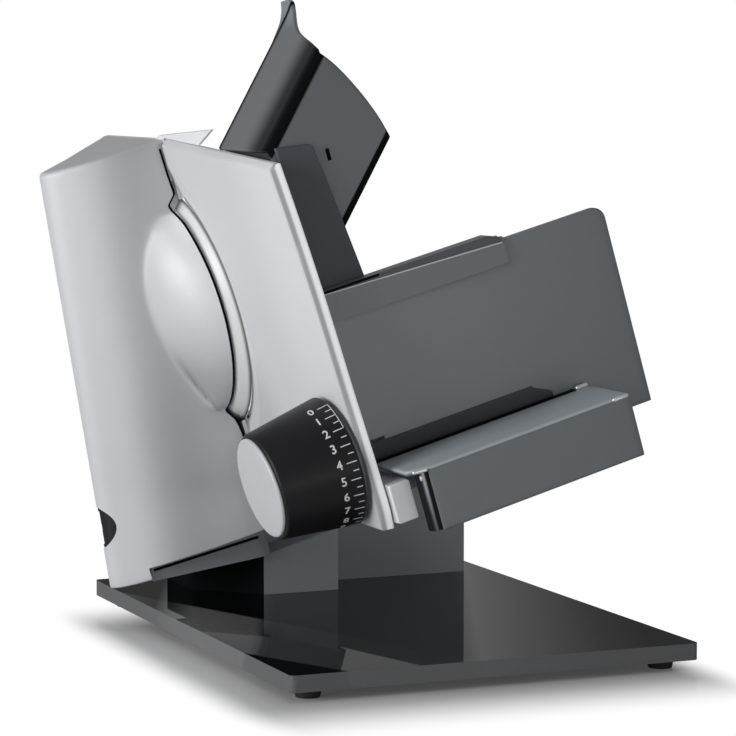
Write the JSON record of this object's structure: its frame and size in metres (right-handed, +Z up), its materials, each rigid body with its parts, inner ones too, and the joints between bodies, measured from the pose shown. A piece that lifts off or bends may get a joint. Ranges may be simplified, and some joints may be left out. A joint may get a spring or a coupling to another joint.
{
  "type": "electric food slicer",
  "caption": "Electric food slicer with a leaning silver motor head, round blade, dial-set thickness plate, sliding carriage with food holder, and a dark glass base.",
  "frame": {"origin": "centre of the bounding box at the bottom of the feet", "axes": "+Z up, +Y away from the operator along the carriage's travel, +X towards the food side"},
  "size_m": [0.3216, 0.356, 0.3922],
  "materials": {
    "tinted_glass": "polished dark glass",
    "foot_rubber": "matte",
    "slate_plastic": "glossy dark slate",
    "silver_paint": "satin silver",
    "blade_steel": "ground",
    "screw_steel": "plain",
    "drive_steel": "plain",
    "bush_brass": "plain",
    "magnet_black": "matte",
    "winding_copper": "lacquered",
    "white_nylon": "moulded",
    "black_plastic": "satin black",
    "capacitor_yellow": "moulded",
    "cap_grey": "satin light grey"
  },
  "bodies": {
    "frame": {"glass_base_plate": "tinted_glass", "base_feet": "foot_rubber", "pedestal": "slate_plastic", "pedestal_screws": "screw_steel", "chassis": "slate_plastic", "chassis_tray": "slate_plastic", "motor_housing": "silver_paint", "bearing_plate": "drive_steel", "bearing_plate_screws": "screw_steel", "blade_guard": "silver_paint", "guard_screws": "screw_steel", "front_bush": "bush_brass", "rear_bush": "bush_brass", "motor_can": "drive_steel", "ring_magnet": "magnet_black", "motor_bushes": "bush_brass", "motor_standoffs": "screw_steel", "switch_body": "black_plastic", "suppression_capacitor": "capacitor_yellow", "terminal_block": "white_nylon", "cord_inlet": "foot_rubber", "carriage_rail": "silver_paint", "rail_end_cap": "silver_paint", "rail_screws": "screw_steel", "gauge_bracket": "silver_paint", "gauge_guide_bar": "screw_steel", "spindle_nut": "bush_brass"},
    "blade_unit": {"blade": "blade_steel", "blade_shaft": "drive_steel", "blade_gear": "white_nylon", "blade_lock_screw": "screw_steel"},
    "rotor": {"motor_shaft": "drive_steel", "motor_pinion": "bush_brass", "armature": "winding_copper", "commutator": "winding_copper"},
    "gauge": {"gauge_plate": "silver_paint", "gauge_slide_bush": "white_nylon"},
    "knob": {"knob_barrel": "black_plastic", "knob_cap": "cap_grey", "knob_spindle": "screw_steel"},
    "carriage": {"carriage_wall": "slate_plastic", "carriage_floor": "slate_plastic", "carriage_ledge": "slate_plastic", "carriage_shoe": "white_nylon", "carriage_screws": "screw_steel"},
    "food_holder": {"holder_saddle": "slate_plastic", "holder_strap": "slate_plastic", "holder_shield": "slate_plastic", "press_plate": "slate_plastic"},
    "switch": {"switch_button": "black_plastic"}
  },
  "joints": [
    {"name": "blade_spin", "type": "hinge", "parent": "frame", "child": "blade_unit", "pos_m": [-0.05418, 0.093, 0.202], "axis": [0.9603, 0, 0.279], "continuous": true},
    {"name": "rotor_spin", "type": "hinge", "parent": "frame", "child": "rotor", "pos_m": [-0.06836, 0.09098, 0.14325], "axis": [0.9603, 0, 0.279], "continuous": true},
    {"name": "gauge_slide", "type": "slide", "parent": "frame", "child": "gauge", "axis": [-0.9603, 0, -0.279], "range_m": [0, 0.02]},
    {"name": "knob_turn", "type": "hinge", "parent": "gauge", "child": "knob", "pos_m": [-0.05205, -0.11, 0.12296], "axis": [-0.9603, 0, -0.279], "range_deg": [0, 304]},
    {"name": "carriage_slide", "type": "slide", "parent": "frame", "child": "carriage", "axis": [0, 1, 0], "range_m": [0, 0.2]},
    {"name": "holder_slide", "type": "slide", "parent": "carriage", "child": "food_holder", "axis": [0.9603, 0, 0.279], "range_m": [0, 0.065]},
    {"name": "switch_press", "type": "slide", "parent": "frame", "child": "switch", "axis": [0.9603, 0, 0.279], "range_m": [0, 0.003], "stiffness_N_per_m": 600, "springref_m": -0.003}
  ],
  "couplings": [
    {"joint": "rotor_spin", "follows": "blade_spin", "ratio": -6},
    {"joint": "knob_turn", "follows": "gauge_slide", "rad_per_m": 265.29}
  ]
}
